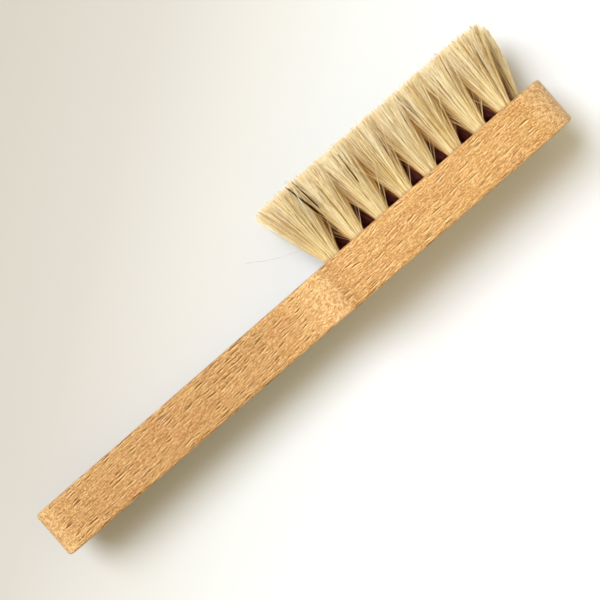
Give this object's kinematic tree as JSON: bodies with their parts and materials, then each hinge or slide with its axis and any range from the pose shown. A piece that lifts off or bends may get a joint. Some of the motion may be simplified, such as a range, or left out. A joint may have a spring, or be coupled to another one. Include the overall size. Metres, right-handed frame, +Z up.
{
  "type": "bee brush",
  "caption": "Wooden hand brush for sweeping bees off combs: one-piece beech handle and head, with rows of pale natural hair tufts held by steel anchors. It lies on its narrow side.",
  "frame": {"origin": "on the plane that the brush lies on, in the middle of its length and of its depth from the board's back to the hair tips", "axes": "+X along the board from the handle's tip to the head's nose, +Y from the board towards the hair tips, +Z up, across the board's width"},
  "size_m": [0.252, 0.05, 0.0437],
  "materials": {
    "beech": "satin",
    "hair": "satin",
    "anchor_steel": "satin"
  },
  "bodies": {
    "root": {"brush_body": "beech", "tuft_a1": "hair", "tuft_a2": "hair", "tuft_a3": "hair", "tuft_a4": "hair", "tuft_a5": "hair", "tuft_a6": "hair", "tuft_a7": "hair", "tuft_a8": "hair", "tuft_b1": "hair", "tuft_b2": "hair", "tuft_b3": "hair", "tuft_b4": "hair", "tuft_b5": "hair", "tuft_b6": "hair", "tuft_b7": "hair", "tuft_b8": "hair", "tuft_c1": "hair", "tuft_c2": "hair", "tuft_c3": "hair", "tuft_c4": "hair", "tuft_c5": "hair", "tuft_c6": "hair", "tuft_c7": "hair", "tuft_c8": "hair", "tuft_d1": "hair", "tuft_d2": "hair", "tuft_d3": "hair", "tuft_d4": "hair", "tuft_d5": "hair", "tuft_d6": "hair", "tuft_d7": "hair", "tuft_d8": "hair", "tuft_nose": "hair", "anchors_row_a": "anchor_steel", "anchors_row_b": "anchor_steel", "anchors_row_c": "anchor_steel", "anchors_row_d": "anchor_steel", "anchor_nose": "anchor_steel"}
  },
  "joints": []
}
